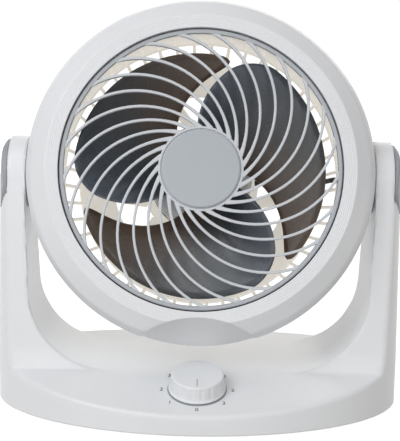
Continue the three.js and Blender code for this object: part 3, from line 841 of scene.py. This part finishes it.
def bar_stations(offset, count=22):
    """Centres and sideways directions along one swept bar."""
    radii = BAR_FROM + (BAR_TO - BAR_FROM) * np.linspace(0, 1, count) ** 0.9
    spread = (radii**2 + BAR_CENTRE_R**2 - BAR_ARC_R**2) / (2 * radii * BAR_CENTRE_R)
    turns = BAR_CENTRE_ANGLE + offset - np.degrees(np.arccos(spread))
    middle = np.array(polar(BAR_CENTRE_R, BAR_CENTRE_ANGLE + offset))
    stations = []
    for r, turn in zip(radii, turns):
        centre = np.array(polar(r, turn))
        across = (centre - middle) / BAR_ARC_R
        stations.append((centre, across))
    return stations, radii


def bar_section(radii):
    """Rounded front, drafted sides, wider at the hub and at the rim."""

    def section(i):
        half = 1.0 + 0.75 * math.exp(-(radii[i] - 29.3) / 6)
        half += 0.8 * math.exp((radii[i] - BAR_TO) / 2.2)
        front = GRILLE_FRONT - 0.06
        back = GRILLE_FRONT - (4.4 if radii[i] < 95 else 3)
        drafted = half * 0.8
        corners = [(-drafted, back, 0.2), (drafted, back, 0.2), (half, front, 0.7), (-half, front, 0.7)]
        return soften(corners, 0, 3)

    return section


GUARD_BACK = 44.5
outer_ring = [
    (95.8, GUARD_BACK, 0.3), (98.5, GUARD_BACK, 0.3), (98.5, GRILLE_FRONT, 0.7), (95.8, GRILLE_FRONT, 0.7),
]
hub_ring = [
    (24, GUARD_BACK, 0.3), (29.8, GUARD_BACK, 0.3), (29.8, GRILLE_FRONT, 0.5), (28.2, GRILLE_FRONT, 0.4),
    (28.0, 46.6, 0.2), (24, 46.6, 0.2),
]
guard_parts = [turned(soften(outer_ring, 0), 200), turned(soften(hub_ring, 0), 120)]
for n in range(GRILLE_BARS):
    stations, radii = bar_stations(n * 360 / GRILLE_BARS)
    guard_parts.append(swept(stations, bar_section(radii)))
guard = build("guard_bars", guard_parts, HEAD, 40)
fit(guard, "head", "silver_guard", SILVER, "front_guard")

rim_line = soften([
    (95.2, 45.0, 0.4), (98.5, 45.0, 0.3), (98.5, 47.2, 0.5), (97.8, 47.9, 0.4), (95.6, 47.7, 0.6),
], 0)
rim = build("guard_rim", [turned(rim_line, 200)], HEAD, 40)
fit(rim, "head", "silver_guard", RIM_SILVER)

hub_line = soften([
    (0, 46.8), (27.3, 46.8, 0.2), (27.3, 48.5, 0.5), (26.4, 48.9, 0.6), (0, 48.6),
], 0, 4, closed=False)
hub = build("hub_plate", [turned(hub_line, 120, closed=False)], HEAD, 40)
fit(hub, "head", "silver_guard", HUB_SILVER, "hub_disc")

# ---------------------------------------------------------------- impeller
BLADE_ROOT = 24
BLADE_TIP = 90
LEADING = (131, 70, 5.5)
LEADING_CURL = 8
TRAILING = (217, 185, 36.5)


def rounded_corner(u, s, from_u, from_s):
    """Turns the corner of a unit square into an arc."""
    cu = max(0.0, (u - from_u) / (1 - from_u))
    cs = max(0.0, (s - from_s) / (1 - from_s))
    if cu == 0 or cs == 0:
        return u, s
    round_u = cu * math.sqrt(1 - cs * cs / 2)
    round_s = cs * math.sqrt(1 - cu * cu / 2)
    return from_u + round_u * (1 - from_u), from_s + round_s * (1 - from_s)


def blade_point(u, s):
    """A point of the blade's middle surface; u runs hub to tip, s leading to trailing edge."""
    r = BLADE_ROOT + (BLADE_TIP - BLADE_ROOT) * u
    start = LEADING[0] + (LEADING[1] - LEADING[0]) * u + LEADING_CURL * u**16
    end = TRAILING[0] + (TRAILING[1] - TRAILING[0]) * u**1.45
    rise = LEADING[2] + (TRAILING[2] - LEADING[2]) * (0.75 * s + 0.25 * s * s)
    return np.array([*polar(r, start + (end - start) * s), rise])


def blade(offset, rows=26, columns=64):
    """A curved blade with thin rounded edges; also the sweep value of each point."""
    front = []
    back = []
    sweep = []
    for i in range(rows):
        for j in range(columns):
            raw_u = i / (rows - 1)
            raw_s = j / (columns - 1)
            u, s = rounded_corner(raw_u, raw_s, 0.76, 0.9)
            u, s2 = rounded_corner(u, 1 - s, 0.955, 0.97)
            s = 1 - s2
            middle = blade_point(u, s)
            tangent_u = blade_point(min(u + 0.01, 1.01), s) - middle
            tangent_s = blade_point(u, s + 0.01) - middle
            normal = np.cross(tangent_u, tangent_s)
            normal /= np.linalg.norm(normal)
            border = min(1.0, 40 * (1 - raw_u), 60 * raw_s, 60 * (1 - raw_s))
            half = 0.12 + 0.83 * math.sqrt(max(0.0, 1 - (1 - border) ** 2))
            front.append(middle + normal * half)
            back.append(middle - normal * half)
            sweep.append(s)
    turn = math.radians(offset)
    spin = np.array([[math.cos(turn), -math.sin(turn), 0], [math.sin(turn), math.cos(turn), 0], [0, 0, 1]])
    points = (np.array(front + back) @ spin.T).tolist()
    count = rows * columns
    faces = sheet_faces(rows, columns)
    faces += [tuple(count + c for c in reversed(face)) for face in sheet_faces(rows, columns)]
    border_line = list(range(columns))
    border_line += [i * columns + columns - 1 for i in range(1, rows)]
    border_line += [(rows - 1) * columns + j for j in range(columns - 2, -1, -1)]
    border_line += [i * columns for i in range(rows - 2, 0, -1)]
    for here, there in zip(border_line, border_line[1:] + border_line[:1]):
        faces.append((here, there, there + count, here + count))
    return points, faces, sweep + sweep


hub_shell = turned(soften([
    (4.4, 24, 0.3), (4.4, 38, 0.3), (20, 38, 4), (26.5, 34, 3), (26.5, 4.5, 0.5), (24, 4.5, 0.5),
    (24, 32.6, 3), (19, 35.5, 2), (8, 35.5, 1), (8, 24, 0.3),
], 0), 100)
# The hub takes the blade ramp at 0.9, inside the painted cool reflection.
sweep_values = [0.9] * len(hub_shell[0])
blade_parts = [hub_shell]
for n in range(3):
    blade_points, blade_faces, blade_sweep = blade(n * 120)
    blade_parts.append((blade_points, blade_faces))
    sweep_values.extend(blade_sweep)


def build_blades(name, parts, values):
    """As build, but with the sweep stored on every point."""
    points = [point for part in parts for point in part[0]]
    faces = []
    offset = 0
    for part_points, part_faces in parts:
        faces.extend(tuple(c + offset for c in face) for face in part_faces)
        offset += len(part_points)
    mesh = bpy.data.meshes.new(name)
    mesh.from_pydata((np.array(points) * MM).tolist(), [], faces)
    mesh.attributes.new("sweep", "FLOAT", "POINT").data.foreach_set("value", values)
    work = bmesh.new()
    work.from_mesh(mesh)
    bmesh.ops.recalc_face_normals(work, faces=work.faces)
    work.to_mesh(mesh)
    work.free()
    mesh.shade_smooth()
    mesh.set_sharp_from_angle(angle=math.radians(60))
    mesh.transform(HEAD)
    obj = bpy.data.objects.new(name, mesh)
    bpy.context.scene.collection.objects.link(obj)
    return obj


blades = build_blades("impeller_blades", blade_parts, sweep_values)
fit(blades, "impeller", "blade_plastic", BLADE, "fan_blades")

# ---------------------------------------------------------------- head: rear guard
def strut(start, end, half_start, half_end, low, high):
    """A straight bar between two flat points with rounded long edges."""
    start = np.array(start, float)
    end = np.array(end, float)
    along = (end - start) / np.linalg.norm(end - start)
    across = np.array([-along[1], along[0]])
    stations = [(start + (end - start) * t, across) for t in np.linspace(0, 1, 5)]
    widths = np.linspace(half_start, half_end, 5)

    def section(i):
        half = widths[i]
        return soften([(-half, low, 0.4), (half, low, 0.4), (half, high, 0.4), (-half, high, 0.4)], 0, 2)

    return swept(stations, section)


def web(inner, outer):
    """A broad spoke of the rear guard from the motor plate up to the solid ring."""
    start = np.array([*polar(43.2, inner), 0])
    end = np.array([*polar(67.4, outer), 0])
    along = (end - start) / np.linalg.norm(end - start)
    across = np.array([-along[1], along[0], 0])
    points = []
    rows = 6
    for t in np.linspace(0, 1, rows):
        half = 3.6 + 1.2 * t
        low = -46 + 5 * t
        high = low + 3
        for reach, height in soften([(-half, low), (half, low), (half, high), (-half, high)], 0.7, 3):
            points.append(tuple(start + (end - start) * t + across * reach + np.array([0, 0, height])))
    return points, tube_faces(rows, len(points) // rows)


hoop = soften([(99.6, -8.5), (102.8, -8.5), (102.8, -6), (DUCT_R, -6)], 0.4)
solid_ring = soften([(66.4, -41), (92.8, -35), (90.6, -32.8), (66, -38)], 0.7)
motor_plate = soften([(0, -46), (44.4, -46, 0.6), (44.2, -43, 0.6), (0, -43)], 0, 4, closed=False)
rear_parts = [turned(hoop, 160), turned(solid_ring, 160), turned(motor_plate, 100, closed=False)]
for n in range(REAR_RIBS):
    rear_parts.append(rib([(91.4, -35), (97, -22), (102.6, -8)], (n + 0.5) * 360 / REAR_RIBS, 1.2, 2.3))
for n in range(12):
    turn = 30 * n
    inner_turn, outer_turn = (turn + 9, turn + 21) if n % 2 else (turn + 21, turn + 9)
    rear_parts.append(web(inner_turn, outer_turn))
rear = build("rear_grille", rear_parts, HEAD, 40)
fit(rear, "head", "cream_guard", CREAM, "rear_guard")

cover_line = soften([
    (0, -53.5), (24, -52.5, 20), (41, -46.4, 1), (38.4, -46.4, 0.5), (23, -50.8, 20), (0, -51.8),
], 0, 6, closed=False)
cover = build("motor_cover_dish", [turned(cover_line, 120, closed=False)], HEAD, 40)
fit(cover, "head", "white_shell", WHITE, "motor_cover")

# ---------------------------------------------------------------- tilt pivots
bush_line = soften([
    (3, 116, 0.3), (9, 116, 0.4), (9, HEAD_R + 0.3, 0.3), (24.5, HEAD_R + 0.3, 0.3), (24.5, 124.3, 0.3),
    (9, 124.3, 0.3), (9, 130.1, 0.4), (3, 130.1, 0.3),
], 0)
spigot_line = soften([(20, 134, 0.4), (22.4, 134, 0.4), (22.4, 139, 0.4), (20, 139, 0.4)], 0)
cap_points, cap_quads = skin(cap_distance, (136.6, -27, PIVOT_Z - 27), (147.6, 27, PIVOT_Z + 27), 0.8)
cap_points = settle(cap_distance, cap_points, cap_quads)
for side, sign, place in (("left", -1, LEFTWARD), ("right", 1, RIGHTWARD)):
    dome = ((cap_points * (sign, 1, 1)).tolist(), cap_quads.tolist())
    spigot_points, spigot_faces = sideways(turned(spigot_line, 96), sign)
    spigot = ([(x, y, z + PIVOT_Z) for x, y, z in spigot_points], spigot_faces)
    cap = build(f"pivot_dome_{side}", [dome, spigot], WORLD, 45)
    fit(cap, "stand", "grey_trim", GREY, f"pivot_cap_{side}")
    bush = build(f"pivot_boss_{side}", [turned(bush_line, 96)], place, 40)
    fit(bush, "head", "grey_trim", GREY, f"pivot_bush_{side}")


# ---------------------------------------------------------------- speed knob
def ribbed_knob(segments=480):
    """Drafted grip with shallow ribs, a rounded top edge and a plain collar."""
    line = [(19.9, 1.0), (20.2, 1.2), (20.2, 2.0), (19.7, 2.6)]
    side = [(KNOB_R - 0.8 * t, 2.8 + (KNOB_H - 4.0) * t) for t in np.linspace(0, 1, 8)]
    edge = arc(KNOB_R - 2.2, KNOB_H - 1.4, 1.4, 0, 90, 6)
    top = [(KNOB_R - 4, KNOB_H - 0.05), (10, KNOB_H - 0.2), (0, KNOB_H - 0.25)]
    under = [(0, 1.0), (12, 1.0)]
    profile = under + line + side + edge + top
    points = []
    for k in range(segments):
        angle = 360 * k / segments
        rib = math.cos(math.radians(KNOB_RIBS * angle))
        depth = 0.32 * (1 - max(0.0, rib) ** 0.6) - 0.32
        for r, h in profile:
            fade = np.clip((h - 2.6) / 1.0, 0, 1) * np.clip((KNOB_H - 0.4 - h) / 1.6, 0, 1)
            grip = r + depth * fade if r > 15 else r
            points.append((*polar(grip, angle), h))
    return points, sheet_faces(segments, len(profile), True, False)


knob = build("knob_grip", [ribbed_knob()], KNOB_SEAT, 40)
fit(knob, "knob", "white_shell", WHITE, "speed_knob")
pointer = strut((0, -6.5), (0, -15.6), 0.28, 0.28, KNOB_H - 0.4, KNOB_H + 0.12)
line = build("knob_pointer", [pointer], KNOB_SEAT, 40)
fit(line, "knob", "grey_trim", GREY)
# The grey ring showing round the foot of the knob is a seat ring that also serves as painted shade for the
# gap under the knob.
seat_shade_line = soften([(17, 0.05, 0.1), (20.9, 0.05, 0.1), (20.9, 0.5, 0.2), (17, 0.5, 0.1)], 0)
seat_shade = build("knob_seat_shade_ring", [turned(seat_shade_line, 120)], KNOB_SEAT, 40)
fit(seat_shade, "stand", "grey_trim", GREY)


MARK_HEIGHT = 3.8
MARK_REACH = 25
MARK_REACH_BEHIND = 25.8  # so that the knob does not hide the back ones


def dial_mark(text, degrees):
    """A printed number on the panel; degrees run clockwise from the front."""
    reach = MARK_REACH_BEHIND if 100 < degrees < 260 else MARK_REACH
    data = bpy.data.curves.new("mark", "FONT")
    data.body = text
    data.size = MARK_HEIGHT * 1.36 * MM
    data.align_x = "CENTER"
    data.align_y = "CENTER"
    data.extrude = 0.03 * MM
    data.offset = 0.04 * MM
    draft = bpy.data.objects.new("mark", data)
    bpy.context.scene.collection.objects.link(draft)
    bpy.context.view_layer.update()
    mesh = bpy.data.meshes.new_from_object(draft)
    bpy.data.objects.remove(draft)
    turn = math.radians(degrees)
    spot = Matrix.Translation((-reach * math.sin(turn) * MM, -reach * math.cos(turn) * MM, 0.05 * MM))
    mesh.transform(KNOB_SEAT @ spot)
    mark = bpy.data.objects.new(f"dial_mark_{degrees}", mesh)
    bpy.context.scene.collection.objects.link(mark)
    fit(mark, "stand", "black_plastic", INK)


for text, degrees in zip("0123123", (0, 48, 88, 130, 230, 272, 312)):
    dial_mark(text, degrees)
